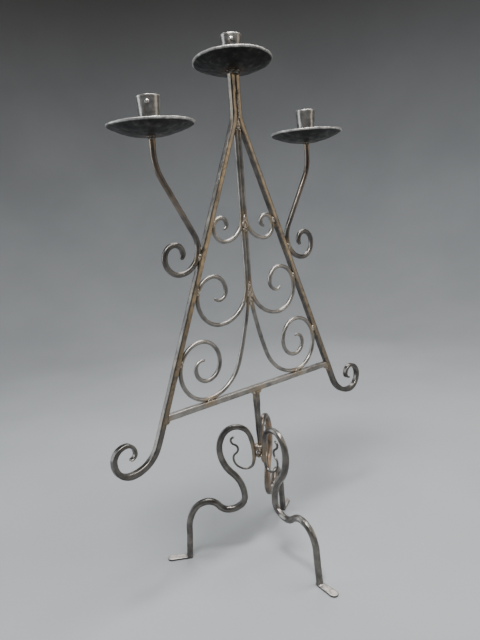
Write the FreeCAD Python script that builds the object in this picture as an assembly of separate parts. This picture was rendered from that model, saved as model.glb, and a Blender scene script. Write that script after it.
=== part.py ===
import FreeCAD
import Part
import math
import os

# A wrought-iron candelabra for three candles: an A-shaped frame of square bar, filled with pairs of
# scrolls, on a short post with three looped legs. Two arms and the stem of the frame carry drip pans
# with candle cups. X runs along the frame, Y to its back and Z up, in millimetres. The pieces are
# shaped about the axis of the post and stem, and at the end they move together, so that the origin is
# on the floor under the middle of the whole.

# Stock. Round rods are drawn with a few flats, and the diameter is measured across them.
bar = 7.6
scroll_rod = 5.0
arm_rod = 6.0
leg_rod = 8.8
rod_flats = 6
weld_gap = 0.3

# Frame: two side bars that stand together as the stem and spread from the fork down
fork_height = 608.0
fork_bend = 40.0
stem_height = 55.8
crossbar_half_span = 155.0
foot_scroll_drop = 55.3
foot_scroll_sweep = 43.0
foot_scroll_outer = 22.0
foot_scroll_eye = 7.0
foot_scroll_end_turn = 95.0
foot_scroll_tip = 2.4

# Scrolls, wound by a few arcs each, and those inside the frame from the top pair down
scroll_arcs = 4
bottom_scroll_arcs = 6
top_scroll_sweep = 33.0
top_scroll_outer = 17.5
top_scroll_eye = 5.0
top_scroll_end_turn = 100.0
middle_scroll_sweep = 50.0
middle_scroll_outer = 36.0
middle_scroll_eye = 12.0
middle_scroll_end_turn = 135.0
bottom_scroll_splay = 10.0
bottom_scroll_clearance = 11.3
bottom_scroll_eye = 11.0
bottom_scroll_end_turn = 110.0
scroll_tip = 3.0

# Arms
arm_reach = 133.0
arm_lean = 31.0
arm_neck = 18.5
arm_top_bend = 60.0
arm_curl_height = 450.0
arm_sweep = 31.0
arm_curl_outer = 20.5
arm_curl_eye = 7.0
arm_curl_end_turn = 55.0
arm_tip = 4.2

# Drip pans and candle cups. The top pan leans, with its raised side at the given angle.
pan_diameter = 102.0
pan_floor_diameter = 30.0
pan_depth = 12.0
pan_sheet = 2.0
top_pan_lean = 6.0
top_pan_lean_angle = 228.0
cup_height = 42.0
cup_foot_diameter = 20.6
cup_mouth_diameter = 27.2
cup_bore = 18.2
cup_bore_depth = 10.0
cup_lip = 1.2
rivet_shank = 3.0
rivet_head = 5.0
rivet_head_height = 1.4
rivet_play = 0.05
rivet_height = 34.0
rivet_angle = 229.0

# Post: its blunt end a little above the hub of the legs, a taper and a straight shank
post_hub_rise = 6.0
post_tip = 4.4
post_tip_chamfer = 1.2
post_taper = 75.0
post_shank = 14.0

# Legs, in radii from the post's axis, heights above the floor and rises or drops from the hub
left_leg_angle = 143.0
front_leg_angle = 263.0
back_leg_angle = 32.0
hub_radius = 9.0
hub_height = 148.0
hub_rod = 5.8
loop_top_radius = 33.0
loop_top_rise = 44.0
loop_side_radius = 58.0
loop_side_rise = 13.0
waist_radius = 27.0
waist_height = 86.0
sole_radius = 50.0
sole_height = 68.0
hump_radius = 81.0
hump_height = 84.0
front_hump_height = 80.0
shin_radius = 110.5
shin_height = 46.0
shin_heading = -88.0
ankle_radius = 114.0
ankle_heading = -84.0
pad_toe_radius = 146.0
pad_width = 12.0
pad_thickness = 3.0
tail_bottom_radius = 20.5
tail_bottom_drop = 20.0
tail_low_wave_radius = 39.0
tail_low_wave_drop = 2.0
tail_inner_wave_radius = 31.5
tail_inner_wave_rise = 11.0
tail_high_wave_radius = 41.0
tail_high_wave_rise = 24.5
tail_end_radius = 35.5
tail_end_rise = 29.0
tail_wire = 3.0

# Weld beads
bead_radius = 4.0
bead_proud = 0.6
fork_bead_length = 13.0
seam_bead_radius = 1.6
seam_bead_length = 32.0
pan_bead_height = 3.5
pan_bead_width = 2.5
hub_bead_radius = 7.6
hub_bead_height = 7.0
bridge_wire = 2.6
bridge_rise = 4.0


class Path:
    """A smooth line of straight runs and arcs in an upright plane, drawn from one end to the other.

    Points are (distance from the axis, height), and headings are degrees up from the outward level.
    """

    def __init__(self, start, heading):
        self.points = [start]
        self.headings = [heading]
        self.middles = []

    def line(self, length):
        x, z = self.points[-1]
        ahead = math.radians(self.headings[-1])
        self.middles.append(None)
        self.points.append((x + length * math.cos(ahead), z + length * math.sin(ahead)))
        self.headings.append(self.headings[-1])

    def arc(self, radius, turn):
        """Turn left by a positive angle and right by a negative one."""
        start = math.radians(self.headings[-1])
        half = math.radians(turn) / 2
        side = math.copysign(radius, turn)
        centre_x = self.points[-1][0] - side * math.sin(start)
        centre_z = self.points[-1][1] + side * math.cos(start)
        places = []
        for ahead in (start + half, start + 2 * half):
            places.append((centre_x + side * math.sin(ahead), centre_z - side * math.cos(ahead)))
        self.middles.append(places[0])
        self.points.append(places[1])
        self.headings.append(self.headings[-1] + turn)

    def arc_to(self, point):
        """Reach a point by one arc that keeps the present heading at its start."""
        across = point[0] - self.points[-1][0]
        up = point[1] - self.points[-1][1]
        aim = math.degrees(math.atan2(up, across)) - self.headings[-1]
        turn = 2 * ((aim + 180) % 360 - 180)
        self.arc(math.hypot(across, up) / (2 * abs(math.sin(math.radians(turn / 2)))), turn)

    def bend_to(self, point, heading):
        """Reach a point at a heading by two arcs that share a tangent where they meet."""
        x, z = self.points[-1]
        first = math.radians(self.headings[-1])
        last = math.radians(heading)
        across = point[0] - x
        up = point[1] - z
        square = across ** 2 + up ** 2
        along = across * (math.cos(first) + math.cos(last)) + up * (math.sin(first) + math.sin(last))
        spread = 2 * (1 - math.cos(last - first))
        reach = square / (along + math.sqrt(along ** 2 + spread * square))
        join_x = (x + point[0] + reach * (math.cos(first) - math.cos(last))) / 2
        join_z = (z + point[1] + reach * (math.sin(first) - math.sin(last))) / 2
        self.arc_to((join_x, join_z))
        self.arc_to(point)

    def curl(self, outer, eye, arcs, end_turn):
        """Wind inward by quarter turns that shrink evenly, the last one of its own length."""
        for number in range(arcs):
            radius = outer + (eye - outer) * number / (arcs - 1)
            self.arc(radius, 90 if number < arcs - 1 else end_turn)

    def part(self, first, last):
        """The stretch between two of the path's points."""
        piece = Path(self.points[first], self.headings[first])
        piece.points = self.points[first:last + 1]
        piece.headings = self.headings[first:last + 1]
        piece.middles = self.middles[first:last]
        return piece


def place(point, azimuth=0.0):
    turn = math.radians(azimuth)
    return FreeCAD.Vector(point[0] * math.cos(turn), point[0] * math.sin(turn), point[1])


def stretch(start, middle, end):
    """A straight edge, or an arc where a middle point is given."""
    if middle is None:
        return Part.LineSegment(start, end).toShape()
    return Part.Arc(start, middle, end).toShape()


def spine(path, azimuth):
    edges = []
    for number, middle in enumerate(path.middles):
        bow = None if middle is None else place(middle, azimuth)
        start = place(path.points[number], azimuth)
        edges.append(stretch(start, bow, place(path.points[number + 1], azimuth)))
    return Part.Wire(edges)


def section(path, number, diameter, azimuth):
    """The outline of a rod across one of its path's points, with a flat towards each side of a bend."""
    turn = math.radians(azimuth)
    lean = math.radians(path.headings[number])
    across = FreeCAD.Vector(-math.sin(turn), math.cos(turn), 0)
    above = place((-math.sin(lean), math.cos(lean)), azimuth)
    centre = place(path.points[number], azimuth)
    corner_radius = diameter / 2 / math.cos(math.pi / rod_flats)
    corners = []
    for corner in range(rod_flats):
        angle = math.pi / 2 + 2 * math.pi * (corner + 0.5) / rod_flats
        corners.append(centre + (across * math.cos(angle) + above * math.sin(angle)) * corner_radius)
    return Part.makePolygon(corners + corners[:1])


def rod(path, diameter, azimuth=0.0):
    return spine(path, azimuth).makePipeShell([section(path, 0, diameter, azimuth)], True, False)


def drawn_rod(path, diameter, end_diameter, azimuth=0.0):
    """A rod that is drawn down evenly from one end to the other."""
    outlines = [section(path, 0, diameter, azimuth), section(path, -1, end_diameter, azimuth)]
    return spine(path, azimuth).makePipeShell(outlines, True, False)


def rod_with_tip(path, diameter, end_diameter):
    """A rod whose last arc is drawn down to a thin end."""
    last = len(path.points) - 1
    body = rod(path.part(0, last - 1), diameter)
    return body.fuse(drawn_rod(path.part(last - 1, last), diameter, end_diameter))


def square_bar(path, widths):
    """A bar bent on the flat, with its width given at each of the path's points."""

    def edge_point(point, heading, width):
        lean = math.radians(heading)
        return FreeCAD.Vector(point[0] - width / 2 * math.sin(lean), -bar / 2,
                              point[1] + width / 2 * math.cos(lean))

    count = len(path.middles)
    sides = {}
    for side in (1, -1):
        corners = []
        for number in range(count + 1):
            corners.append(edge_point(path.points[number], path.headings[number], side * widths[number]))
        sides[side] = []
        for number, middle in enumerate(path.middles):
            if middle is not None:
                heading = (path.headings[number] + path.headings[number + 1]) / 2
                middle = edge_point(middle, heading, side * (widths[number] + widths[number + 1]) / 2)
            sides[side].append(stretch(corners[number], middle, corners[number + 1]))
    ends = []
    for number in (0, count):
        corners = []
        for side in (1, -1):
            corners.append(edge_point(path.points[number], path.headings[number], side * widths[number]))
        ends.append(stretch(corners[0], None, corners[1]))
    outline = Part.Wire(Part.__sortEdges__(sides[1] + sides[-1] + ends))
    return Part.Face(outline).extrude(FreeCAD.Vector(0, bar, 0))


def flat_prism(points, depth):
    """An outline in the plane of the frame, as thick to the front as to the back."""
    corners = [FreeCAD.Vector(x, -depth, z) for x, z in points]
    outline = Part.makePolygon(corners + corners[:1])
    return Part.Face(outline).extrude(FreeCAD.Vector(0, 2 * depth, 0))


def turned(points, x, height):
    """A closed outline of (radius, height) points, turned about an upright axis."""
    corners = [place(point) for point in points]
    outline = Part.Face(Part.makePolygon(corners + corners[:1]))
    solid = outline.revolve(FreeCAD.Vector(), FreeCAD.Vector(0, 0, 1), 360)
    solid.translate(FreeCAD.Vector(x, 0, height))
    return solid


def mirrored(shape):
    return shape.mirror(FreeCAD.Vector(0, 0, 0), FreeCAD.Vector(1, 0, 0))


# The post stands in the hub and carries the crossbar
post_tip_height = hub_height + post_hub_rise
crossbar_bottom = post_tip_height + post_taper + post_shank
crossbar_height = crossbar_bottom + bar / 2
crossbar_top = crossbar_bottom + bar
foot_scroll_bottom = crossbar_height - foot_scroll_drop
stem_top = fork_height + stem_height

# Slope of the side bars, their outward direction and the line of their middle below the fork
bar_slope = math.degrees(math.atan2(crossbar_half_span - bar / 2, fork_height - crossbar_height))
outward = (math.cos(math.radians(bar_slope)), math.sin(math.radians(bar_slope)))
bar_line = outward[0] * crossbar_half_span + outward[1] * crossbar_height


def bar_radius(height, offset):
    """Distance from the axis to the side bar's middle line, moved outward by an offset."""
    return (bar_line + offset - outward[1] * height) / outward[0]


def side_bar():
    """The stem, the slope and the scroll at its foot, which is drawn down to a thin end."""
    path = Path((bar / 2, stem_top), -90)
    bend_start = fork_height + fork_bend * math.tan(math.radians(bar_slope / 2))
    path.line(stem_top - bend_start)
    path.arc(fork_bend, bar_slope)
    sweep_drop = foot_scroll_sweep * (1 - outward[1])
    path.line((path.points[-1][1] - foot_scroll_bottom - sweep_drop) / outward[0])
    path.arc(foot_scroll_sweep, 90 - bar_slope)
    curl_start = len(path.points)
    path.curl(foot_scroll_outer, foot_scroll_eye, scroll_arcs, foot_scroll_end_turn)
    widths = [bar] * curl_start
    for number in range(scroll_arcs):
        widths.append(bar + (foot_scroll_tip - bar) * (number + 1) / scroll_arcs)
    return square_bar(path, widths)


def cross_bar():
    """The level bar between the side bars, its ends cut to their slope."""
    top = bar_radius(crossbar_top, -bar / 2)
    bottom = bar_radius(crossbar_bottom, -bar / 2)
    upper = [(-top, crossbar_top), (top, crossbar_top)]
    lower = [(bottom, crossbar_bottom), (-bottom, crossbar_bottom)]
    return flat_prism(upper + lower, bar / 2)


# A pair of scrolls runs down the middle side by side, and each curl's second arc meets a side bar
pair_radius = (scroll_rod + weld_gap) / 2
scroll_offset = -(bar + scroll_rod) / 2 - weld_gap
arm_offset = (bar + arm_rod) / 2 + weld_gap


def second_radius(outer, eye, arcs):
    return outer + (eye - outer) / (arcs - 1)


def curl_bottom(rest_radius, outer, second):
    """Height of a curl's lowest point, at a given radius, where the curl meets the side bar."""
    centre = rest_radius + outer - second
    return (bar_line + scroll_offset - second - outward[0] * centre) / outward[1] - outer


def parting_height(start, sweep):
    """Height where two parting rods leave room for the next pair between them."""
    room = sweep - scroll_rod - weld_gap
    return start - math.sqrt(sweep ** 2 - room ** 2)


top_second = second_radius(top_scroll_outer, top_scroll_eye, scroll_arcs)
middle_second = second_radius(middle_scroll_outer, middle_scroll_eye, scroll_arcs)
top_rest = pair_radius + top_scroll_sweep
middle_rest = pair_radius + middle_scroll_sweep
top_bottom = curl_bottom(top_rest, top_scroll_outer, top_second)
middle_bottom = curl_bottom(middle_rest, middle_scroll_outer, middle_second)
bottom_bottom = crossbar_top + weld_gap + scroll_rod / 2

# The first two arcs of the bottom curl fill the room between the crossbar and the middle curl
bottom_room = middle_bottom - bottom_bottom - scroll_rod - bottom_scroll_clearance
bottom_steps = bottom_scroll_arcs - 1
bottom_scroll_outer = (bottom_steps * bottom_room - bottom_scroll_eye) / (2 * bottom_steps - 1)
bottom_second = second_radius(bottom_scroll_outer, bottom_scroll_eye, bottom_scroll_arcs)
bottom_rest = (bar_radius(bottom_bottom + bottom_scroll_outer, scroll_offset - bottom_second)
               - bottom_scroll_outer + bottom_second)

# Upper ends: the top pair in the fork, and each next pair where the pair above it parts
fork_room = bar / 2 + weld_gap + outward[0] * (pair_radius + scroll_rod / 2)
top_scroll_top = (bar_line - fork_room) / outward[1]
middle_scroll_top = parting_height(top_bottom + top_scroll_sweep, top_scroll_sweep)
bottom_scroll_top = parting_height(middle_bottom + middle_scroll_sweep, middle_scroll_sweep)


def hanging_scroll(top, bottom, sweep, outer, eye, end_turn):
    """A scroll that runs straight down the middle, sweeps outward and curls up against the side bar."""
    path = Path((pair_radius, top), -90)
    path.line(top - bottom - sweep)
    path.arc(sweep, 90)
    path.curl(outer, eye, scroll_arcs, end_turn)
    return rod_with_tip(path, scroll_rod, scroll_tip)


def bottom_scroll():
    """A scroll that leaves the middle at a slant, rests on the crossbar and curls against the side bar."""
    path = Path((pair_radius, bottom_scroll_top), -90 + bottom_scroll_splay)
    path.bend_to((bottom_rest, bottom_bottom), 0)
    path.curl(bottom_scroll_outer, bottom_scroll_eye, bottom_scroll_arcs, bottom_scroll_end_turn)
    return rod_with_tip(path, scroll_rod, scroll_tip)


# The arm's slant reaches from the curl at the side bar to the bend under the pan's neck
slant_turn = math.radians(arm_lean)
slant_foot = bar_radius(arm_curl_height, arm_offset + arm_sweep) - arm_sweep * math.cos(slant_turn)
slant_head = arm_reach - arm_top_bend * (1 - math.cos(slant_turn))
arm_slant = (slant_head - slant_foot) / math.sin(slant_turn)
arm_bends_rise = (arm_sweep + arm_top_bend) * math.sin(slant_turn)
side_pan_height = arm_curl_height + arm_slant * math.cos(slant_turn) + arm_bends_rise + arm_neck


def arm():
    """A rod that hangs from its pan, leans in to the side bar and curls outward below."""
    path = Path((arm_reach, side_pan_height), -90)
    path.line(arm_neck)
    path.arc(arm_top_bend, -arm_lean)
    path.line(arm_slant)
    path.arc(arm_sweep, 90 + arm_lean)
    path.curl(arm_curl_outer, arm_curl_eye, scroll_arcs, arm_curl_end_turn)
    return rod_with_tip(path, arm_rod, arm_tip)


# The leaning pan clears the corners of the stem, and weld fills the wedge between them
raised_side = place((1, 0), top_pan_lean_angle)
stem_corner = bar * abs(raised_side.x) + bar / 2 * abs(raised_side.y)
top_pan_height = stem_top + stem_corner * math.tan(math.radians(top_pan_lean)) + weld_gap


def leaned(shape, x, height, lean):
    """A piece of a pan or on it, tilted about the middle of the pan's foot."""
    tilt_axis = FreeCAD.Vector(raised_side.y, -raised_side.x, 0)
    shape.rotate(FreeCAD.Vector(x, 0, height), tilt_axis, lean)
    return shape


def dish(radius, height):
    """The space inside the ball that the pan is beaten over, from its level floor up, within a radius."""
    rim = pan_diameter / 2
    floor = pan_floor_diameter / 2
    centre = (rim ** 2 + pan_depth ** 2 - floor ** 2) / (2 * pan_depth)
    level_axis = FreeCAD.Vector(1, 0, 0)
    ball = Part.makeSphere(math.hypot(floor, centre), FreeCAD.Vector(0, 0, height + centre), level_axis)
    return ball.common(Part.makeCylinder(radius, pan_depth + pan_sheet, FreeCAD.Vector(0, 0, height)))


def drip_pan(x, height):
    """A round of sheet, dished over a ball, with a level floor for the cup."""
    pan = dish(pan_diameter / 2, 0).cut(dish(pan_diameter, pan_sheet))
    pan.translate(FreeCAD.Vector(x, 0, height))
    return pan


def candle_cup(x, height):
    """A flared tube that stands on its pan, with a straight bore for the candle."""
    bore = cup_bore / 2
    mouth = cup_mouth_diameter / 2
    points = [(bore, 0), (cup_foot_diameter / 2, 0), (mouth, cup_height)]
    return turned(points + [(mouth - cup_lip, cup_height), (bore, cup_bore_depth)], x, height)


def cup_and_rivet(x, height, azimuth):
    """A cup with a rivet through its wall, the head seated on the outside."""
    foot = cup_foot_diameter / 2
    mouth = cup_mouth_diameter / 2
    bore = cup_bore / 2
    outside = foot + (mouth - foot) * rivet_height / cup_height
    flare = (rivet_height - cup_bore_depth) / (cup_height - cup_bore_depth)
    inside = bore + (mouth - cup_lip - bore) * flare
    centre = FreeCAD.Vector(x, 0, height + rivet_height)
    axis = place((1, 0), azimuth)

    def pin(diameter, start, end):
        return Part.makeCylinder(diameter / 2, end - start, centre + axis * start, axis)

    cup = candle_cup(x, height)
    head = pin(rivet_head, (inside + outside) / 2, outside + rivet_head_height).cut(cup)
    rivet = head.fuse(pin(rivet_shank, inside, outside + rivet_head_height / 2))
    return cup.cut(pin(rivet_shank + 2 * rivet_play, 0, cup_mouth_diameter)), rivet


def post():
    """Square bar under the crossbar, hammered to a taper with a blunt end."""
    corner_signs = ((-1, -1), (1, -1), (1, 1), (-1, 1), (-1, -1))
    outlines = []
    for height, width in (
        (crossbar_bottom, bar),
        (post_tip_height + post_taper, bar),
        (post_tip_height + post_tip_chamfer, post_tip),
        (post_tip_height, post_tip - post_tip_chamfer),
    ):
        corners = [FreeCAD.Vector(x * width / 2, y * width / 2, height) for x, y in corner_signs]
        outlines.append(Part.makePolygon(corners))
    return Part.makeLoft(outlines, True, True)


def foot_pad(azimuth):
    """The flattened end of a leg: a tongue with a round toe on the floor."""
    heel = ankle_radius - leg_rod / 2
    half = pad_width / 2
    shoulder = pad_toe_radius - half
    points = [(heel, -leg_rod / 2), (shoulder, -half), (shoulder, half), (heel, leg_rod / 2)]
    corners = [FreeCAD.Vector(x, y, 0) for x, y in points]
    toe = FreeCAD.Vector(pad_toe_radius, 0, 0)
    edges = [
        stretch(corners[0], None, corners[1]),
        stretch(corners[1], toe, corners[2]),
        stretch(corners[2], None, corners[3]),
        stretch(corners[3], None, corners[0]),
    ]
    pad = Part.Face(Part.Wire(edges)).extrude(FreeCAD.Vector(0, 0, pad_thickness))
    pad.rotate(FreeCAD.Vector(), FreeCAD.Vector(0, 0, 1), azimuth)
    return pad


def leg(azimuth, hump):
    """A looped leg: foot, shin, hump, waist and loop, drawn down to the hub and on to a wavy tail."""
    hub = (hub_radius, hub_height)
    loop_side = (loop_side_radius, hub_height + loop_side_rise)
    lower = Path(loop_side, -90)
    lower.bend_to((waist_radius, waist_height), -90)
    lower.bend_to((sole_radius, sole_height), 0)
    lower.bend_to((hump_radius, hump), 0)
    lower.bend_to((shin_radius, shin_height), shin_heading)
    lower.bend_to((ankle_radius, pad_thickness / 2), ankle_heading)
    loop = Path(loop_side, 90)
    loop.bend_to((loop_top_radius, hub_height + loop_top_rise), 180)
    loop.bend_to(hub, 270)
    tail_bottom = (tail_bottom_radius, hub_height - tail_bottom_drop)
    turn_up = Path(hub, -90)
    turn_up.bend_to(tail_bottom, 0)
    tail = Path(tail_bottom, 0)
    tail.bend_to((tail_low_wave_radius, hub_height - tail_low_wave_drop), 90)
    tail.bend_to((tail_inner_wave_radius, hub_height + tail_inner_wave_rise), 90)
    tail.bend_to((tail_high_wave_radius, hub_height + tail_high_wave_rise), 90)
    tail.bend_to((tail_end_radius, hub_height + tail_end_rise), 180)
    pieces = [
        drawn_rod(loop, leg_rod, hub_rod, azimuth),
        drawn_rod(turn_up, hub_rod, tail_wire, azimuth),
        rod(tail, tail_wire, azimuth),
        foot_pad(azimuth),
    ]
    return rod(lower, leg_rod, azimuth).multiFuse(pieces)


def contact_bead(x, z, depth):
    """A round bead across the thickness of the frame, to be fitted to the bars that it joins."""
    start = FreeCAD.Vector(x, -depth, z)
    return Part.makeCylinder(bead_radius, 2 * depth, start, FreeCAD.Vector(0, 1, 0))


def curl_contact(rest_radius, bottom, outer, second):
    """Where a curl comes nearest to the side bar."""
    reach = second + (scroll_rod + weld_gap) / 2
    return (rest_radius + outer - second + reach * outward[0], bottom + outer + reach * outward[1])


def parting_bead(top, bottom, half_width, depth):
    """A drop of weld between two rods that part, over the ends of the next pair."""
    widest = (top + bottom) / 2
    return flat_prism([(0, top), (half_width, widest), (0, bottom), (-half_width, widest)], depth)


nodes = {
    "frame_bar_right": side_bar(),
    "cross_bar": cross_bar(),
    "top_scroll_right": hanging_scroll(top_scroll_top, top_bottom, top_scroll_sweep, top_scroll_outer,
                                       top_scroll_eye, top_scroll_end_turn),
    "middle_scroll_right": hanging_scroll(middle_scroll_top, middle_bottom, middle_scroll_sweep,
                                          middle_scroll_outer, middle_scroll_eye, middle_scroll_end_turn),
    "bottom_scroll_right": bottom_scroll(),
    "arm_right": arm(),
    "post": post(),
}
for name in ("frame_bar", "top_scroll", "middle_scroll", "bottom_scroll", "arm"):
    nodes[name + "_left"] = mirrored(nodes[name + "_right"])
leg_angles = {"left": left_leg_angle, "front": front_leg_angle, "back": back_leg_angle}
for name, azimuth in leg_angles.items():
    nodes["leg_" + name] = leg(azimuth, front_hump_height if name == "front" else hump_height)

# Pans with their cups, and a rivet in the wall of each cup, which faces backward on the right cup
pan_places = {
    "left": (-arm_reach, side_pan_height, 0),
    "top": (0, top_pan_height, top_pan_lean),
    "right": (arm_reach, side_pan_height, 0),
}
rivets = []
for name, (x, height, lean) in pan_places.items():
    azimuth = rivet_angle + 180 if name == "right" else rivet_angle
    cup, rivet = cup_and_rivet(x, height + pan_sheet, azimuth)
    nodes["drip_pan_" + name] = leaned(drip_pan(x, height), x, height, lean)
    nodes["candle_cup_" + name] = leaned(cup, x, height, lean)
    rivets.append(leaned(rivet, x, height, lean))
nodes["cup_rivets"] = Part.makeCompound(rivets)


def fitted(bead, *names):
    """A bead without the room that the named pieces take."""
    return bead.cut([nodes[name] for name in names])


def both_sides(beads):
    return Part.makeCompound(beads + [mirrored(bead) for bead in beads])


# Welds of the frame: the seam of the stem, the crossbar's ends and the post's top
seam_foot = FreeCAD.Vector(0, -bar / 2, fork_height)
seam = Part.makeCylinder(seam_bead_radius, seam_bead_length, seam_foot)
front_seam = fitted(seam, "frame_bar_left", "frame_bar_right")
back_seam = front_seam.mirror(FreeCAD.Vector(0, 0, 0), FreeCAD.Vector(0, 1, 0))
end_bead = contact_bead(bar_radius(crossbar_bottom, -bar / 2), crossbar_bottom, bar / 2 - bead_proud)
post_bead = contact_bead(bar / 2, crossbar_bottom, bar / 2 - bead_proud)
end_bead = fitted(end_bead, "frame_bar_right", "cross_bar")
post_bead = fitted(post_bead, "post", "cross_bar")
frame_beads = [front_seam, back_seam, end_bead, mirrored(end_bead), post_bead, mirrored(post_bead)]
nodes["frame_welds"] = Part.makeCompound(frame_beads)

# Welds of the scrolls: on the side bars, on the crossbar and in the middle
scroll_depth = scroll_rod / 2 + bead_proud
side_beads = []
for name, contact in (
    ("top_scroll_right", curl_contact(top_rest, top_bottom, top_scroll_outer, top_second)),
    ("middle_scroll_right", curl_contact(middle_rest, middle_bottom, middle_scroll_outer, middle_second)),
    ("bottom_scroll_right", curl_contact(bottom_rest, bottom_bottom, bottom_scroll_outer, bottom_second)),
):
    side_beads.append(fitted(contact_bead(*contact, scroll_depth), name, "frame_bar_right"))
rest_bead = contact_bead(bottom_rest, crossbar_top, scroll_depth)
side_beads.append(fitted(rest_bead, "bottom_scroll_right", "cross_bar"))
middle_beads = []
for top, end, upper, lower in (
    (fork_height, top_scroll_top, "frame_bar", "top_scroll"),
    (top_bottom + top_scroll_sweep, middle_scroll_top, "top_scroll", "middle_scroll"),
    (middle_bottom + middle_scroll_sweep, bottom_scroll_top, "middle_scroll", "bottom_scroll"),
):
    bead = parting_bead(top, 2 * end - top + fork_bead_length, scroll_rod + weld_gap, scroll_depth)
    names = [name + side for name in (upper, lower) for side in ("_left", "_right")]
    middle_beads.append(fitted(bead, *names))
nodes["scroll_welds"] = Part.makeCompound(both_sides(side_beads).Solids + middle_beads)

# Welds of the arms on the side bars
arm_bead_height = arm_curl_height - (arm_sweep + (arm_rod + weld_gap) / 2) * outward[1]
arm_bead_radius = bar_radius(arm_bead_height, bar / 2 + weld_gap / 2)
arm_bead = contact_bead(arm_bead_radius, arm_bead_height, arm_rod / 2 + bead_proud)
nodes["arm_welds"] = both_sides([fitted(arm_bead, "arm_right", "frame_bar_right")])

# Welds under the pans
pan_beads = []
for name, carrier_half, carriers in (
    ("left", arm_rod / 2, ("arm_left",)),
    ("top", bar, ("frame_bar_left", "frame_bar_right")),
    ("right", arm_rod / 2, ("arm_right",)),
):
    x, height, lean = pan_places[name]
    foot = FreeCAD.Vector(x, 0, height - pan_bead_height)
    bead = Part.makeCone(carrier_half, carrier_half + pan_bead_width, pan_bead_height, foot)
    pan_beads.append(fitted(leaned(bead, x, height, lean), *carriers))
nodes["pan_welds"] = Part.makeCompound(pan_beads)

# Welds of the legs: a lump round the end of the post, and a bridge between the left and front legs
leg_names = ["leg_" + name for name in leg_angles]
lump_foot = FreeCAD.Vector(0, 0, post_tip_height + post_tip_chamfer)
lump = fitted(Part.makeCylinder(hub_bead_radius, hub_bead_height, lump_foot), "post", *leg_names)
bridge_azimuth = (left_leg_angle + front_leg_angle) / 2
half_angle = math.radians(front_leg_angle - bridge_azimuth)
bridge_half = hub_radius * math.sin(half_angle)
bridge_foot = hub_height - bridge_rise
bridge_path = Path((-bridge_half, bridge_foot), 2 * math.degrees(math.atan2(bridge_rise, bridge_half)))
bridge_path.arc_to((bridge_half, bridge_foot))
bridge = rod(bridge_path, bridge_wire, bridge_azimuth + 90)
bridge.translate(place((hub_radius * math.cos(half_angle), 0), bridge_azimuth))
bridge = fitted(bridge, *leg_names)
nodes["leg_welds"] = Part.makeCompound([lump, bridge])

# The toes are the foremost and rearmost points, and the origin goes midway between them
toe_radius = pad_width / 2
toe_depths = [(pad_toe_radius - toe_radius) * math.sin(math.radians(angle)) for angle in leg_angles.values()]
to_origin = FreeCAD.Vector(0, -(min(toe_depths) + max(toe_depths)) / 2, 0)

os.makedirs("parts", exist_ok=True)
for name, shape in nodes.items():
    piece = shape.Solids[0] if len(shape.Solids) == 1 else Part.makeCompound(shape.Solids)
    piece.translate(to_origin)
    piece.exportStep("parts/" + name + ".step")
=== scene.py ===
import math

import bmesh
import bpy
import numpy as np
from mathutils import Matrix, Vector, kdtree, noise


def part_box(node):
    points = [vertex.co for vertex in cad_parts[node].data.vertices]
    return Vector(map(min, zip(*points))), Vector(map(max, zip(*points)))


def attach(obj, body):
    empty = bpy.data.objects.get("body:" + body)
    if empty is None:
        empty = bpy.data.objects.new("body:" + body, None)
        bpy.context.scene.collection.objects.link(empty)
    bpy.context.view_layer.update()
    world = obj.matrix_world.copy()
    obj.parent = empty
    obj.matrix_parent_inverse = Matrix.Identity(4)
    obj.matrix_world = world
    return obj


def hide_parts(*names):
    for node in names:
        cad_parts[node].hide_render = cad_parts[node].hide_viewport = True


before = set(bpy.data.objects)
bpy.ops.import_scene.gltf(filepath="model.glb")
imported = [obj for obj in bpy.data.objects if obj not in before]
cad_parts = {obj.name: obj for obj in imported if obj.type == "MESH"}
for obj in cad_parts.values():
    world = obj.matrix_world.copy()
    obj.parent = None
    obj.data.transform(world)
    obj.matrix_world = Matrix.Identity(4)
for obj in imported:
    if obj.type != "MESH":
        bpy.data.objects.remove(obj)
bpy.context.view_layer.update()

# The looks of a hand-forged candelabra. Lengths are in metres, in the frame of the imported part.
# A pair of limits says where a mask begins and where it is full.

# Nodes of bar and rod with the kind of each, and nodes of weld beads
PIECES = {
    "frame_bar_left": "bar",
    "frame_bar_right": "bar",
    "cross_bar": "worn bar",
    "post": "bar",
    "top_scroll_left": "scroll",
    "top_scroll_right": "scroll",
    "middle_scroll_left": "scroll",
    "middle_scroll_right": "scroll",
    "bottom_scroll_left": "scroll",
    "bottom_scroll_right": "scroll",
    "arm_left": "arm",
    "arm_right": "arm",
    "leg_left": "leg",
    "leg_front": "leg",
    "leg_back": "leg",
}
WELDS = ("frame_welds", "scroll_welds", "arm_welds", "pan_welds", "leg_welds")

# How each kind is forged: grain of its mesh, rounds of smoothing, depth and size of its hammer
# marks, and slow unevenness. The rounded rods of some kinds swell towards the corners of their
# six flats.
FORGING = {
    "bar": dict(grain=0.0009, rounds=2, dent=0.00016, dent_size=0.0105, sway=0.00016),
    "worn bar": dict(grain=0.0008, rounds=10, dent=0.00022, dent_size=0.0095, sway=0.00020),
    "scroll": dict(grain=0.0008, rounds=14, dent=0.00010, dent_size=0.0060, sway=0.00012),
    "arm": dict(grain=0.0008, rounds=14, dent=0.00012, dent_size=0.0070, sway=0.00014),
    "leg": dict(grain=0.0009, rounds=12, dent=0.00018, dent_size=0.0085, sway=0.00018),
    "weld": dict(grain=0.0006, rounds=6, dent=0.00045, dent_size=0.0024, sway=0.00040),
}
ROD_SWELL = {"scroll": 0.00018, "arm": 0.00032}
BEAD_SWELL = 0.0003
SMOOTHING = (0.5, -0.52)

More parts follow.
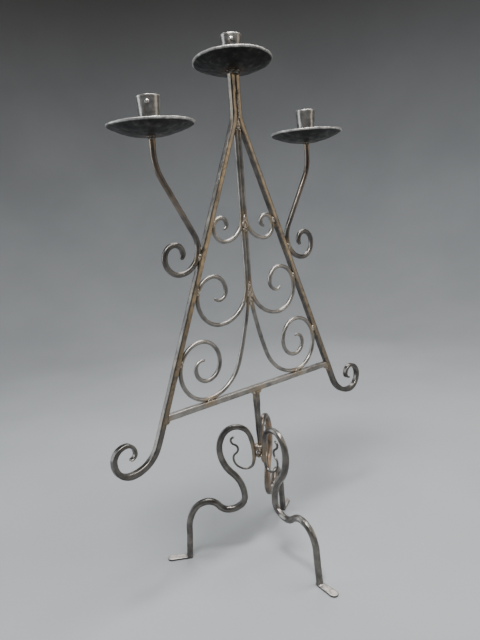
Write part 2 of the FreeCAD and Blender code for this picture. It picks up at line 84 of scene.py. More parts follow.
# Hammer marks and unevenness: a mark's rim in parts of its size, the lifts that make up for the
# marks' depth, and how far the patterns move from seed to seed
DENT_RIM = 0.62
ROD_DENT_LIFT = 0.45
SHEET_DENT_LIFT = 0.5
ROD_SWAY_SIZE = 0.016
DENT_STEP = (3.1, 1.7, 2.3)
SWAY_STEP = (5.3, 2.9, 4.1)

# First seed of each group of patterns. Those of the bars and rods start from 0.
FRONT_SEED = 20
WELD_SEED = 40
PAN_SEED = 60
CUP_SEED = 70
RIM_SEED_STEP = 7

# The lump of weld round the post's end and the bridge between two legs have run together: where
# they lie from the post's foot, and the metal's radius at shares of the way
LUMP = (0, 0, 0.002)
BRIDGE = (-0.0045, -0.0020, -0.006)
RUN_TOGETHER = ((0.0, 0.0046), (0.35, 0.0040), (0.7, 0.0036), (1.0, 0.0032))

# Metal scorched by the welds, by its distance from the beads
SCORCH = 0.7
SCORCH_REACH = (0.001, 0.012)

# Bars whose front faces take the scorch colour as a painted warm sheen, in patches and from the
# crossbar up
FRONT_WARM_SHEEN = {"frame_bar_left": 0.9, "frame_bar_right": 0.55}
FRONT_FACING = (0.55, 0.90)
FRONT_PATCHES = (-0.8, 0.1)
FRONT_PATCH_SIZE = 0.050
FRONT_START = (-0.01, 0.02)

# Rods that are brown, partly patina and partly a painted warm sheen: from what height, and how
# much. A leg is less brown at its loop's top, by its height over the post's foot.
BROWN_AND_WARM_SHEEN = {"leg_back": (0.06, 0.60), "arm_left": (0.46, 0.22), "arm_right": (0.46, 0.22)}
BROWN_FADE = 0.06
LOOP_LESS_BROWN = 0.75
LOOP_TOP = (0.014, 0.034)

# How bright each kind is rubbed, on its upper and on its lower sides; the brighter upper sides are
# also a painted highlight
RUBBED_AND_HIGHLIT = {
    "bar": (0.20, 0.0),
    "worn bar": (0.76, 0.30),
    "scroll": (0.64, 0.36),
    "arm": (0.28, 0.10),
    "leg": (0.34, 0.08),
}
UPPER_SIDE = (-0.3, 0.3)

# Wear on edges, by their bend, and on the flattened feet, by height and upward facing. On the weld
# beads the bright edges are a painted highlight on the ripples.
ROD_EDGE = (0.14, 0.26)
BEAD_EDGE = (0.10, 0.26)
FOOT_HEIGHT = (0.0036, 0.008)
FOOT_FACING = (0.45, 0.85)

# Drip pans, about their own axes. The top pan leans about its foot, away from its raised side.
PAN_NAMES = ("left", "top", "right")
PAN_RADIUS = 0.051
PAN_FLOOR = 0.015
PAN_DEPTH = 0.012
PAN_SHEET = 0.002
PAN_FLOOR_RINGS = (0.0004, 0.004, 0.008, 0.012)
PAN_DISH_RINGS = 22
PAN_RIM_ROUNDING = 0.0003
PAN_RIM_SHARES = (0.15, 0.5, 0.85)
PAN_SEGMENTS = 160
PAN_DENT = 0.00040
PAN_DENT_SIZE = 0.011
PAN_DENTED = (0.017, 0.024)
PAN_UNEVEN = (0.030, PAN_RADIUS)
PAN_WAVE = 0.0009
PAN_WAVE_SIZE = 0.045
PAN_OUT_OF_ROUND = 0.008
PAN_ROUND_SIZE = 0.030
PAN_RIM_HIGHLIGHT_REACH = (0.984, 0.997)
TOP_LEAN = math.radians(6)
RAISED_SIDE = math.radians(228)

# Candle cups, about the axes of their pans. Points of the lip are inward from the mouth's edge
# and down from its top.
CUP_FOOT = 0.0103
CUP_MOUTH = 0.0136
CUP_HEIGHT = 0.042
CUP_BORE = 0.0091
CUP_BORE_DEPTH = 0.010
CUP_BORE_RINGS = (0.0067, 0.0033, 0.0)
CUP_LIP = 0.0012
CUP_LIP_POINTS = ((0.0002, 0.0001), (0.0006, 0.0), (0.0010, 0.0001))
CUP_OUTSIDE_TOP = CUP_HEIGHT - 0.0004
CUP_INSIDE_TOP = CUP_HEIGHT - 0.0005
CUP_OUTSIDE_RINGS = 20
CUP_INSIDE_RINGS = 12
CUP_SEGMENTS = 168
CUP_OUTER_SKIN = (0.0010, 0.0004)
CUP_SWAY = 0.00012
CUP_SWAY_SIZE = 0.012
CUP_DENT = 0.00014
CUP_DENT_SIZE = 0.006
CUP_SEAM = math.radians(305)
CUP_SEAM_HEIGHT = 0.00045
CUP_SEAM_WIDTH = 0.007
CUP_LIP_WORN = (CUP_HEIGHT - 0.0014, CUP_HEIGHT - 0.0002)

# Rivets through the cups' walls. Turned outlines keep a pinhole on their axis.
RIVET_ANGLES = {"left": 229, "top": 229, "right": 49}
RIVET_HEIGHT = 0.034
RIVET_HEAD = 0.0026
RIVET_DOME = 0.0014
RIVET_SHANK = 0.0014
RIVET_DEPTH = 0.0016
RIVET_NECK = 0.0002
RIVET_SINK = 0.0003
RIVET_PINHOLE = 0.0001
RIVET_STEPS = 9
RIVET_SEGMENTS = 28

# Colours: dark, middle and light tones of each metal, and what wear, tints and painted light lay
# over them
IRON_TONES = ((0.040, 0.037, 0.034), (0.075, 0.068, 0.061), (0.150, 0.134, 0.117))
IRON_RUBBED_AND_HIGHLIGHT = (0.54, 0.51, 0.47)
IRON_SCORCHED_AND_WARM_SHEEN = (0.330, 0.250, 0.155)
IRON_BROWN_AND_WARM_SHEEN = (0.430, 0.270, 0.155)
IRON_WORN = (0.42, 0.39, 0.35)
IRON_PALE = (0.66, 0.60, 0.56)
PAN_TONES = ((0.006, 0.006, 0.006), (0.014, 0.013, 0.012), (0.055, 0.049, 0.042))
PAN_SCORCHED = (0.11, 0.068, 0.040)
PAN_RIM_HIGHLIGHT = (0.70, 0.68, 0.65)
CUP_TONES = ((0.190, 0.180, 0.165), (0.340, 0.326, 0.305), (0.480, 0.463, 0.438))
CUP_WORN = (0.72, 0.70, 0.66)
WELD_TONES = ((0.060, 0.050, 0.042), (0.230, 0.180, 0.132), (0.600, 0.545, 0.470))
DARK_WELD_TONES = ((0.020, 0.018, 0.016), (0.050, 0.041, 0.033), (0.110, 0.085, 0.062))
WELD_RIPPLE_HIGHLIGHT = (0.76, 0.71, 0.63)
RIVET_TONES = ((0.46, 0.43, 0.39), (0.82, 0.80, 0.76))
FLOOR_TONES = ((0.36, 0.378, 0.395), (0.40, 0.418, 0.435))
FLOOR_SHADE = (0.06, 0.05, 0.042)

# Floor: level rings under the object, a round sweep up, a wall and the sheet's thickness
FLOOR_DROP = 0.0002
FLOOR_RINGS = (0.0002, 0.002, 0.3, 0.8, 1.4)
FLOOR_SWEEP = 1.2
FLOOR_SWEEP_STEPS = 12
FLOOR_WALL = FLOOR_RINGS[-1] + FLOOR_SWEEP
FLOOR_WALL_RINGS = (2.0, 2.8)
FLOOR_SHEET = 0.04
FLOOR_SEGMENTS = 96
# Heights over which painted shade darkens the floor's colour
FLOOR_SHADE_HEIGHTS = (0.5, 2.0)

# Camera: its angles in radians, its place and its lens
HEADING, PITCH, ROLL = -0.718193, -0.180112, -0.074980
CAMERA_PLACE = (-0.519146, -0.544109, 0.485018)
CAMERA_LENS = 32.194
CAMERA_NEAR = 0.01

# Studio light: a box and a smaller lamp above the front, a cool strip to the left, a warm one to
# the right and a wash behind, each with its place, width, height, power and colour
SOFT_BOXES = {
    "overhead": ((0.05, -0.45, 1.75), 2.2, 0.5, 35, (1.0, 0.99, 0.97)),
    "lamp": ((-0.40, -0.25, 1.70), 0.30, 0.30, 16, (1.0, 1.0, 1.0)),
    "left_strip": ((-0.95, 1.00, 0.80), 0.4, 1.4, 6.5, (0.87, 0.94, 1.0)),
    "right_strip": ((0.95, -0.95, 0.65), 0.5, 1.1, 2.6, (1.0, 0.91, 0.78)),
    "back_wash": ((0.75, 0.95, 1.60), 0.8, 0.8, 10, (1.0, 1.0, 1.0)),
}
LIGHT_AIM = Vector((0, 0, 0.40))
WORLD_COLOUR = (0.40, 0.38, 0.36, 1)
WORLD_STRENGTH = 0.08


def smoothstep(low, high, values):
    share = np.clip((values - low) / (high - low), 0, 1)
    return share * share * (3 - 2 * share)


def coordinates(mesh):
    points = np.empty(len(mesh.vertices) * 3)
    mesh.vertices.foreach_get("co", points)
    return points.reshape(-1, 3)


def normals(mesh):
    mesh.update()
    values = np.empty(len(mesh.vertices) * 3)
    mesh.vertex_normals.foreach_get("vector", values)
    return values.reshape(-1, 3)


def edge_ends(mesh):
    ends = np.empty(len(mesh.edges) * 2, np.int32)
    mesh.edges.foreach_get("vertices", ends)
    return ends.reshape(-1, 2).T


def set_coordinates(mesh, points):
    mesh.vertices.foreach_set("co", np.asarray(points, np.float32).ravel())
    mesh.update()


def set_mask(mesh, name, values):
    layer = mesh.attributes.new(name, "FLOAT", "POINT")
    layer.data.foreach_set("value", np.asarray(values, np.float32))


def shade_smooth(mesh):
    for polygon in mesh.polygons:
        polygon.use_smooth = True


def add_object(name, data):
    made = bpy.data.objects.new(name, data)
    bpy.context.scene.collection.objects.link(made)
    return made


def remeshed(node, grain, fill):
    """An even mesh over a CAD node's shape, with balls of (centre, radius) melted into it."""
    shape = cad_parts[node].data.copy()
    joined = bmesh.new()
    joined.from_mesh(shape)
    bmesh.ops.remove_doubles(joined, verts=joined.verts, dist=1e-6)
    for centre, radius in fill:
        place = Matrix.Translation(centre)
        bmesh.ops.create_icosphere(joined, subdivisions=3, radius=radius, matrix=place)
    joined.to_mesh(shape)
    joined.free()
    carrier = add_object("carrier", shape)
    remesh = carrier.modifiers.new("remesh", "REMESH")
    remesh.mode = "VOXEL"
    remesh.voxel_size = grain
    graph = bpy.context.evaluated_depsgraph_get()
    mesh = bpy.data.meshes.new_from_object(carrier.evaluated_get(graph))
    bpy.data.objects.remove(carrier)
    bpy.data.meshes.remove(shape)
    return mesh


def smooth(mesh, rounds):
    """Even out a mesh without shrinking it: each round draws in and then lets out again."""
    points = coordinates(mesh)
    first, second = edge_ends(mesh)
    size = len(points)
    count = np.bincount(first, minlength=size) + np.bincount(second, minlength=size)
    for _ in range(rounds):
        for strength in SMOOTHING:
            total = np.zeros_like(points)
            for axis in range(3):
                total[:, axis] += np.bincount(first, points[second, axis], size)
                total[:, axis] += np.bincount(second, points[first, axis], size)
            points += strength * (total / count[:, None] - points)
    set_coordinates(mesh, points)


def dents(points, size, seed):
    """Shallow round hammer marks, from 0 at their rims to -1 in the middle."""
    values = np.empty(len(points))
    offset = Vector([seed * step for step in DENT_STEP])
    for number, point in enumerate(points):
        nearest = noise.voronoi(Vector(point) / size + offset)[0][0]
        values[number] = min(nearest / DENT_RIM, 1.0) ** 2 - 1
    return values


def sway(points, size, seed):
    """Slow swellings and hollows, between about -1 and 1."""
    values = np.empty(len(points))
    offset = Vector([seed * step for step in SWAY_STEP])
    for number, point in enumerate(points):
        values[number] = noise.noise(Vector(point) / size + offset)
    return values


def forged_mesh(node, kind, seed, fill=()):
    """A CAD node's shape with evened edges and hammer marks."""
    how = FORGING[kind]
    mesh = remeshed(node, how["grain"], fill)
    smooth(mesh, how["rounds"])
    points = coordinates(mesh)
    relief = how["dent"] * (dents(points, how["dent_size"], seed) + ROD_DENT_LIFT)
    relief += how["sway"] * sway(points, ROD_SWAY_SIZE, seed) + ROD_SWELL.get(kind, 0)
    set_coordinates(mesh, points + normals(mesh) * relief[:, None])
    return mesh


def turned_mesh(name, outline, segments, shape=None):
    """A closed outline of (radius, height) points, turned about an upright axis. Shape moves its
    points."""
    rings = len(outline)
    angles = np.arange(segments) * 2 * math.pi / segments
    radii, heights = np.array(outline, float).T
    points = np.empty((rings, segments, 3))
    points[:, :, 0] = radii[:, None] * np.cos(angles)
    points[:, :, 1] = radii[:, None] * np.sin(angles)
    points[:, :, 2] = heights[:, None]
    points = points.reshape(-1, 3)
    if shape:
        points = shape(points)
    faces = []
    for ring in range(rings):
        below = ring * segments
        above = (ring + 1) % rings * segments
        for number in range(segments):
            after = (number + 1) % segments
            faces.append((below + number, below + after, above + after, above + number))
    mesh = bpy.data.meshes.new(name)
    mesh.from_pydata(points.tolist(), [], faces)
    mesh.validate()
    return mesh


def edge_mask(mesh, limits):
    """1 on sharp outward edges and 0 on flats and hollows."""
    points = coordinates(mesh)
    facing = normals(mesh)
    first, second = edge_ends(mesh)
    size = len(points)
    along = points[second] - points[first]
    along /= np.linalg.norm(along, axis=1)[:, None] + 1e-12
    bend = np.bincount(first, -(facing[first] * along).sum(1), size)
    bend += np.bincount(second, (facing[second] * along).sum(1), size)
    bend /= np.bincount(first, minlength=size) + np.bincount(second, minlength=size)
    return smoothstep(*limits, bend)


def scorch_mask(points, beads):
    """Highest beside a weld bead, and 0 out of its reach."""
    distances = np.array([beads.find(point)[2] for point in points])
    return SCORCH * (1 - smoothstep(*SCORCH_REACH, distances))


def front_sheen_mask(points, facing, seed, base):
    """Painted warm sheen: patches on faces that look to the front, from a base height up."""
    patches = smoothstep(*FRONT_PATCHES, sway(points, FRONT_PATCH_SIZE, seed))
    front_sheen = smoothstep(*FRONT_FACING, -facing[:, 1]) * patches
    start, full = FRONT_START
    return front_sheen * smoothstep(base + start, base + full, points[:, 2])


def brown_mask(node, kind, heights, base):
    """Brown from a height up, and on a leg less so towards its loop's top."""
    start, share = BROWN_AND_WARM_SHEEN.get(node, (0, 0))
    brown = share * smoothstep(start, start + BROWN_FADE, heights)
    if kind == "leg":
        low, high = LOOP_TOP
        brown *= 1 - LOOP_LESS_BROWN * smoothstep(base + low, base + high, heights)
    return brown


def make_piece(name, mesh, node, material):
    shade_smooth(mesh)
    mesh.materials.clear()
    mesh.materials.append(material)
    piece = add_object(name, mesh)
    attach(piece, "root")
    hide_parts(node)


class Look:
    """A procedural material, built up node by node."""

    def __init__(self, name):
        self.material = bpy.data.materials.new(name)
        self.material.use_nodes = True
        self.tree = self.material.node_tree
        self.shader = self.tree.nodes["Principled BSDF"]
        self.place = self.node("ShaderNodeTexCoord").outputs["Object"]

    def node(self, kind, **settings):
        made = self.tree.nodes.new(kind)
        for key, value in settings.items():
            setattr(made, key, value)
        return made

    def link(self, output, socket):
        self.tree.links.new(output, socket)

    def grain(self, scale, detail, roughness=0.55):
        texture = self.node("ShaderNodeTexNoise")
        self.link(self.place, texture.inputs["Vector"])
        texture.inputs["Scale"].default_value = scale
        texture.inputs["Detail"].default_value = detail
        texture.inputs["Roughness"].default_value = roughness
        return texture.outputs["Fac"]

    def ramp(self, source, *stops):
        """Stops are (place, colour) pairs, or (place, grey) pairs."""
        ramp = self.node("ShaderNodeValToRGB")
        self.link(source, ramp.inputs["Fac"])
        marks = ramp.color_ramp.elements
        while len(marks) < len(stops):
            marks.new(0.5)
        for mark, (spot, colour) in zip(marks, stops):
            mark.position = spot
            mark.color = (*colour, 1) if isinstance(colour, tuple) else (colour, colour, colour, 1)
        return ramp.outputs["Color"]

    def tones(self, source, spots, colours):
        return self.ramp(source, *zip(spots, colours))

    def over(self, below, colour, mask):
        """A colour laid over another where a mask is bright."""
        mix = self.node("ShaderNodeMix", data_type="RGBA")
        self.link(mask, mix.inputs["Factor"])
        self.link(below, mix.inputs["A"])
        mix.inputs["B"].default_value = (*colour, 1)
        return mix.outputs["Result"]

    def combined(self, operation, first, second):
        made = self.node("ShaderNodeMath", operation=operation)
        self.link(first, made.inputs[0])
        self.link(second, made.inputs[1])
        return made.outputs["Value"]

    def patchy(self, name, source, *stops):
        """A mask of the mesh, broken up by a texture."""
        mask = self.node("ShaderNodeAttribute", attribute_name=name).outputs["Fac"]
        return self.combined("MULTIPLY", mask, self.ramp(source, *stops))

    def bumps(self, *layers):
        """Layers are (height, strength, distance)."""
        below = None
        for height, strength, distance in layers:
            bump = self.node("ShaderNodeBump")
            bump.inputs["Strength"].default_value = strength
            bump.inputs["Distance"].default_value = distance
            self.link(height, bump.inputs["Height"])
            if below:
                self.link(below, bump.inputs["Normal"])
            below = bump.outputs["Normal"]
        self.link(below, self.shader.inputs["Normal"])

    def finish(self, colour, roughness):
        self.link(colour, self.shader.inputs["Base Color"])
        self.link(roughness, self.shader.inputs["Roughness"])
        return self.material


def iron_look():
    """Blackened and waxed bar and rod: rubbed, with a painted highlight on upper sides; scorched
    beside the welds, with a painted warm sheen on some front faces; brown in places, partly a
    painted warm sheen; with worn edges and pale feet."""
    look = Look("waxed_iron")
    patches = look.grain(55, 4)
    tint = look.grain(150, 4)
    scale = look.grain(420, 5, 0.6)
    rubbed_and_highlit = look.patchy("rubbed_and_highlit", patches, (0.32, 0.45), (0.60, 1.0))
    scorched = look.patchy("scorch_and_sheen", tint, (0.34, 0.20), (0.54, 1.0))
    brown = look.patchy("brown", tint, (0.32, 0.35), (0.58, 1.0))
    worn = look.patchy("edge", tint, (0.36, 0.20), (0.62, 0.9))
    pale = look.patchy("worn", tint, (0.34, 0.45), (0.60, 1.0))
    colour = look.tones(patches, (0.30, 0.52, 0.72), IRON_TONES)
    # Pale rubbed colour, stronger on upper sides as a painted highlight
    colour = look.over(colour, IRON_RUBBED_AND_HIGHLIGHT, rubbed_and_highlit)
    # Scorch colour beside the welds, and a painted warm sheen on the side bars' front faces
    colour = look.over(colour, IRON_SCORCHED_AND_WARM_SHEEN, scorched)
    # Brown, partly patina and partly a painted warm sheen
    colour = look.over(colour, IRON_BROWN_AND_WARM_SHEEN, brown)
    colour = look.over(colour, IRON_WORN, worn)
    colour = look.over(colour, IRON_PALE, pale)
    rough = look.ramp(scale, (0.30, 0.26), (0.70, 0.37))
    look.bumps((tint, 0.10, 0.0006), (scale, 0.04, 0.0004))
    dull = look.combined("MAXIMUM", pale, brown)
    look.link(look.ramp(dull, (0.0, 0.90), (1.0, 0.35)), look.shader.inputs["Metallic"])
    look.shader.inputs["Coat Weight"].default_value = 0.20
    look.shader.inputs["Coat Roughness"].default_value = 0.22
    return look.finish(colour, rough)


def pan_look():
    """Blackened sheet: sooty and dark, with a painted highlight along its rim."""
    look = Look("sooty_sheet")
    patches = look.grain(120, 6, 0.6)
    scale = look.grain(520, 6, 0.62)
    fine = look.grain(2200, 3)
    scorched = look.patchy("scorch_and_sheen", scale, (0.42, 0.0), (0.60, 1.0))
    # The pale band round the rim is a painted highlight
    worn = look.patchy("worn", patches, (0.30, 0.30), (0.60, 1.0))
    colour = look.tones(patches, (0.32, 0.55, 0.72), PAN_TONES)
    colour = look.over(colour, PAN_SCORCHED, scorched)
    colour = look.over(colour, PAN_RIM_HIGHLIGHT, worn)
    rough = look.ramp(patches, (0.32, 0.55), (0.70, 0.36))
    look.bumps((scale, 0.14, 0.0006), (fine, 0.04, 0.0002))
    look.link(look.ramp(worn, (0.0, 0.25), (1.0, 0.90)), look.shader.inputs["Metallic"])
    look.shader.inputs["Specular IOR Level"].default_value = 0.16
    return look.finish(colour, rough)


def cup_look():
    """Rolled sheet that handling has rubbed bright, with a little grime and a worn lip."""
    look = Look("rubbed_sheet")
    patches = look.grain(130, 5)
    scale = look.grain(700, 6, 0.62)
    fine = look.grain(2600, 3)
    worn = look.patchy("worn", scale, (0.30, 0.55), (0.60, 1.0))
    colour = look.tones(patches, (0.30, 0.52, 0.74), CUP_TONES)
    colour = look.over(colour, CUP_WORN, worn)
    rough = look.ramp(patches, (0.30, 0.26), (0.70, 0.38))
    look.bumps((scale, 0.04, 0.0004), (fine, 0.02, 0.0002))
    look.shader.inputs["Metallic"].default_value = 0.90
    return look.finish(colour, rough)


def weld_look(name, tones):
    """Weld metal: rough and brown in its hollows, with a painted highlight on its ripples."""
    look = Look(name)
    patches = look.grain(380, 5, 0.6)
    fine = look.grain(1500, 4)
    ripple_highlight = look.patchy("edge", fine, (0.38, 0.0), (0.62, 1.0))
    colour = look.tones(patches, (0.36, 0.50, 0.64), tones)
    colour = look.over(colour, WELD_RIPPLE_HIGHLIGHT, ripple_highlight)
    rough = look.ramp(patches, (0.30, 0.24), (0.70, 0.44))
    look.bumps((patches, 0.24, 0.0008), (fine, 0.10, 0.0003))
    look.shader.inputs["Metallic"].default_value = 0.75
    return look.finish(colour, rough)


def rivet_look():
    """Bright steel with a fine tooth and a little grime."""
    look = Look("rivet_steel")
    grime = look.grain(800, 5)
    fine = look.grain(3200, 3)
    colour = look.tones(grime, (0.34, 0.56), RIVET_TONES)
    rough = look.ramp(grime, (0.30, 0.38), (0.65, 0.20))
    look.bumps((fine, 0.08, 0.0002))
    look.shader.inputs["Metallic"].default_value = 0.95
    return look.finish(colour, rough)


def floor_look():
    """Plain pale paper with a faint tooth, and painted shade that darkens it high up behind."""
    look = Look("pale_floor")
    tooth = look.grain(160, 4)
    cloud = look.grain(2.2, 3)
    split = look.node("ShaderNodeSeparateXYZ")
    look.link(look.place, split.inputs["Vector"])
    rise = look.node("ShaderNodeMapRange")
    rise.inputs["From Min"].default_value, rise.inputs["From Max"].default_value = FLOOR_SHADE_HEIGHTS
    look.link(split.outputs["Z"], rise.inputs["Value"])
    colour = look.tones(cloud, (0.35, 0.65), FLOOR_TONES)
    colour = look.over(colour, FLOOR_SHADE, rise.outputs["Result"])
    rough = look.ramp(tooth, (0.35, 0.78), (0.65, 0.88))
    look.bumps((tooth, 0.05, 0.0006))
    return look.finish(colour, rough)


def pan_outline():
    """Up the underside of the dish, round its rim and back down the inside."""
    centre = (PAN_RADIUS ** 2 + PAN_DEPTH ** 2 - PAN_FLOOR ** 2) / (2 * PAN_DEPTH)
    ball = math.hypot(PAN_FLOOR, centre)
    under = [(radius, 0.0) for radius in PAN_FLOOR_RINGS]
    for radius in np.linspace(PAN_FLOOR, PAN_RADIUS - PAN_RIM_ROUNDING, PAN_DISH_RINGS):
        under.append((radius, centre - math.sqrt(ball ** 2 - radius ** 2)))
    rim = [(PAN_RADIUS, PAN_DEPTH + share * PAN_SHEET) for share in PAN_RIM_SHARES]
    inside = [(radius, height + PAN_SHEET) for radius, height in reversed(under)]
    return under + rim + inside


def pan_shape(seed):
    """Hammer marks in the dish, and a rim that is a little uneven."""

    def shape(points):
        radius = np.hypot(points[:, 0], points[:, 1])
        flat = points * (1, 1, 0)
        marks = dents(flat, PAN_DENT_SIZE, seed) + SHEET_DENT_LIFT
        edge = smoothstep(*PAN_UNEVEN, radius)
        stretch = PAN_OUT_OF_ROUND * sway(flat, PAN_ROUND_SIZE, seed + RIM_SEED_STEP) * edge
        moved = points.copy()
        moved[:, 2] += PAN_DENT * marks * smoothstep(*PAN_DENTED, radius)
        moved[:, 2] += PAN_WAVE * sway(flat, PAN_WAVE_SIZE, seed) * edge
        moved[:, :2] *= (1 + stretch)[:, None]
        return moved

    return shape


def cup_wall(height):
    """Radius of a cup's flared outside at a height."""
    return CUP_FOOT + (CUP_MOUTH - CUP_FOOT) * height / CUP_HEIGHT


def cup_outline():
    """Up the flared outside, over the rounded lip and down into the bore."""
    heights = np.linspace(0, CUP_OUTSIDE_TOP, CUP_OUTSIDE_RINGS)
    outside = [(cup_wall(height), height) for height in heights]
    lip = [(CUP_MOUTH - inward, CUP_HEIGHT - down) for inward, down in CUP_LIP_POINTS]
    inside = []
    for height in np.linspace(CUP_INSIDE_TOP, CUP_BORE_DEPTH, CUP_INSIDE_RINGS):
        flare = (height - CUP_BORE_DEPTH) / (CUP_HEIGHT - CUP_BORE_DEPTH)
        inside.append((CUP_BORE + (CUP_MOUTH - CUP_LIP - CUP_BORE) * flare, height))
    inside += [(CUP_BORE, height) for height in CUP_BORE_RINGS]
    return outside + lip + inside


def cup_shape(seed):
    """A rolled tube, not quite round, with faint hammer marks and a lapped seam up its side."""

    def shape(points):
        radius = np.hypot(points[:, 0], points[:, 1])
        outer = smoothstep(*CUP_OUTER_SKIN, cup_wall(points[:, 2]) - radius)
        marks = dents(points, CUP_DENT_SIZE, seed) + SHEET_DENT_LIFT
        turn = (np.arctan2(points[:, 1], points[:, 0]) - CUP_SEAM) % (2 * math.pi)
        seam = 1 - smoothstep(0.0, CUP_SEAM_WIDTH, turn * radius)
        swell = CUP_SWAY * sway(points, CUP_SWAY_SIZE, seed)
        swell += CUP_DENT * marks * outer + CUP_SEAM_HEIGHT * seam * outer
        moved = points.copy()
        moved[:, :2] *= (1 + swell / radius)[:, None]
        return moved

    return shape


def rivet_mesh(name):
    """A domed head on the outside of a cup's wall, and its flat end inside."""
    outline = [(RIVET_PINHOLE, -RIVET_DEPTH), (RIVET_SHANK, -RIVET_DEPTH),
               (RIVET_SHANK, -RIVET_NECK), (RIVET_HEAD, -RIVET_SINK)]
    for step in range(1, RIVET_STEPS):
        turn = math.pi / 2 * step / RIVET_STEPS
        outline.append((RIVET_HEAD * math.cos(turn), RIVET_DOME * math.sin(turn)))
    outline.append((RIVET_PINHOLE, RIVET_DOME))
    mesh = turned_mesh("rivet", outline, RIVET_SEGMENTS)
    angle = math.radians(RIVET_ANGLES[name])
    outward = Vector((math.cos(angle), math.sin(angle), 0))
    turn = outward.to_track_quat("Z", "Y").to_matrix().to_4x4()
    place = outward * cup_wall(RIVET_HEIGHT) + Vector((0, 0, RIVET_HEIGHT))
    mesh.transform(Matrix.Translation(place) @ turn)
    return mesh


def pan_place(name, axis):
    """From a pan's own axis to its place on an arm, or on the stem, where the pan leans."""
    low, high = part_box("drip_pan_" + name)
    if name != "top":
        return Matrix.Translation(((low.x + high.x) / 2, axis.y, low.z))
    foot = Matrix.Translation((axis.x, axis.y, low.z + PAN_FLOOR * math.sin(TOP_LEAN)))
    hinge = Vector((math.sin(RAISED_SIDE), -math.cos(RAISED_SIDE), 0))
    return foot @ Matrix.Rotation(TOP_LEAN, 4, hinge)


def floor_outline():
    """Level under the object, curving up far away, and back down the outside and underneath."""
    outline = [(radius, 0.0) for radius in FLOOR_RINGS]
    for step in range(1, FLOOR_SWEEP_STEPS + 1):
        turn = math.pi / 2 * step / FLOOR_SWEEP_STEPS
        outline.append((FLOOR_RINGS[-1] + FLOOR_SWEEP * math.sin(turn),
                        FLOOR_SWEEP - FLOOR_SWEEP * math.cos(turn)))
    outline += [(FLOOR_WALL, height) for height in FLOOR_WALL_RINGS]
    outside = FLOOR_WALL + FLOOR_SHEET
    outline += [(outside, FLOOR_WALL_RINGS[-1]), (outside, -FLOOR_SHEET)]
    return outline + [(FLOOR_RINGS[0], -FLOOR_SHEET)]


def soft_box(name, place, width, height, power, colour):
    light = bpy.data.lights.new(name, "AREA")
    light.shape = "RECTANGLE"
    light.size = width
    light.size_y = height
    light.energy = power
    light.color = colour
    lamp = add_object(name, light)
    lamp.location = place
    lamp.rotation_euler = (LIGHT_AIM - Vector(place)).to_track_quat("-Z", "Y").to_euler()


iron = iron_look()
pan_sheet = pan_look()
cup_sheet = cup_look()
weld = weld_look("weld_metal", WELD_TONES)
dark_weld = weld_look("dark_weld_metal", DARK_WELD_TONES)
rivet = rivet_look()

# The post gives the axis of the whole, and its foot the height of the legs' hub
post_low, post_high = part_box("post")
axis = (post_low + post_high) / 2
cross_bar_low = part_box("cross_bar")[0]

# Weld beads first, because the metal beside them takes its tint from how near they are
lump, bridge = (Vector((axis.x + x, axis.y + y, post_low.z + z)) for x, y, z in (LUMP, BRIDGE))
run_together = [(lump.lerp(bridge, share), radius) for share, radius in RUN_TOGETHER]
bead_points = []
for seed, node in enumerate(WELDS):
    fill = run_together if node == "leg_welds" else ()
    mesh = forged_mesh(node, "weld", seed + WELD_SEED, fill)
    points = coordinates(mesh) + normals(mesh) * BEAD_SWELL
    set_coordinates(mesh, points)
    # On the beads the edge mask places a painted highlight along the ripples
    set_mask(mesh, "edge", edge_mask(mesh, BEAD_EDGE))
    bead_points.extend(points)
    # The beads under the pans get darker tones
    material = dark_weld if node == "pan_welds" else weld
    make_piece(node + "_beads", mesh, node, material)
beads = kdtree.KDTree(len(bead_points))
for number, point in enumerate(bead_points):
    beads.insert(point, number)
beads.balance()

# Bars, scrolls, arms, post and legs
for seed, (node, kind) in enumerate(PIECES.items()):
    mesh = forged_mesh(node, kind, seed)
    points = coordinates(mesh)
    facing = normals(mesh)
    scorch_and_sheen = scorch_mask(points, beads)
    # Painted warm sheen: the side bars' front faces take the scorch colour
    if node in FRONT_WARM_SHEEN:
        front_sheen = front_sheen_mask(points, facing, seed + FRONT_SEED, cross_bar_low.z)
        scorch_and_sheen = np.maximum(scorch_and_sheen, FRONT_WARM_SHEEN[node] * front_sheen)
    set_mask(mesh, "scorch_and_sheen", scorch_and_sheen)
    # Brown on the arms and the back leg: partly patina, partly a painted warm sheen
    set_mask(mesh, "brown", brown_mask(node, kind, points[:, 2], post_low.z))
    set_mask(mesh, "edge", edge_mask(mesh, ROD_EDGE))
    # Rubbed on each kind, more on upper sides: a painted highlight as well as rubbing
    upper, lower = RUBBED_AND_HIGHLIT[kind]
    set_mask(mesh, "rubbed_and_highlit", lower + (upper - lower) * smoothstep(*UPPER_SIDE, facing[:, 2]))
    if kind == "leg":
        foot = 1 - smoothstep(*FOOT_HEIGHT, points[:, 2])
        set_mask(mesh, "worn", foot * smoothstep(*FOOT_FACING, facing[:, 2]))
    make_piece(node + "_forged", mesh, node, iron)

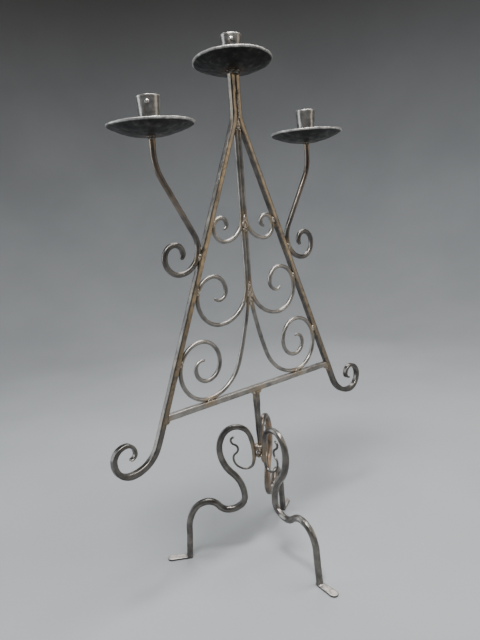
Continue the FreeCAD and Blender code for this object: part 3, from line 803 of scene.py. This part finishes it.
# Pans with their cups and rivets
rivets = bmesh.new()
for seed, name in enumerate(PAN_NAMES):
    place = pan_place(name, axis)
    seat = place @ Matrix.Translation((0, 0, PAN_SHEET))
    mesh = turned_mesh("pan", pan_outline(), PAN_SEGMENTS, pan_shape(seed + PAN_SEED))
    points = coordinates(mesh)
    reach = np.hypot(points[:, 0], points[:, 1]) / PAN_RADIUS
    # Painted highlight: a pale band round the rim
    set_mask(mesh, "worn", smoothstep(*PAN_RIM_HIGHLIGHT_REACH, reach))
    mesh.transform(place)
    set_mask(mesh, "scorch_and_sheen", scorch_mask(coordinates(mesh), beads))
    make_piece("drip_pan_%s_dished" % name, mesh, "drip_pan_" + name, pan_sheet)
    mesh = turned_mesh("cup", cup_outline(), CUP_SEGMENTS, cup_shape(seed + CUP_SEED))
    set_mask(mesh, "worn", smoothstep(*CUP_LIP_WORN, coordinates(mesh)[:, 2]))
    mesh.transform(seat)
    make_piece("candle_cup_%s_rolled" % name, mesh, "candle_cup_" + name, cup_sheet)
    mesh = rivet_mesh(name)
    mesh.transform(seat)
    rivets.from_mesh(mesh)
    bpy.data.meshes.remove(mesh)
mesh = bpy.data.meshes.new("rivets")
rivets.to_mesh(mesh)
rivets.free()
make_piece("cup_rivets_domed", mesh, "cup_rivets", rivet)

# Floor
sweep = add_object("floor", turned_mesh("floor", floor_outline(), FLOOR_SEGMENTS))
sweep.location.z = -FLOOR_DROP
shade_smooth(sweep.data)
sweep.data.materials.append(floor_look())

# Camera, turned by its heading, pitch and roll
level = Vector((math.cos(HEADING), math.sin(HEADING), 0))
ahead = Vector((-math.sin(HEADING) * math.cos(PITCH), math.cos(HEADING) * math.cos(PITCH),
                math.sin(PITCH)))
upward = level.cross(ahead)
right = level * math.cos(ROLL) + upward * math.sin(ROLL)
above = upward * math.cos(ROLL) - level * math.sin(ROLL)
turn = Matrix((right, above, -ahead)).transposed().to_4x4()
camera = add_object("camera", bpy.data.cameras.new("camera"))
camera.data.lens = CAMERA_LENS
camera.data.clip_start = CAMERA_NEAR
camera.matrix_world = Matrix.Translation(CAMERA_PLACE) @ turn
bpy.context.scene.camera = camera

# Light
for name, settings in SOFT_BOXES.items():
    soft_box(name, *settings)
world = bpy.data.worlds.new("studio")
world.use_nodes = True
background = world.node_tree.nodes["Background"]
background.inputs["Color"].default_value = WORLD_COLOUR
background.inputs["Strength"].default_value = WORLD_STRENGTH
bpy.context.scene.world = world
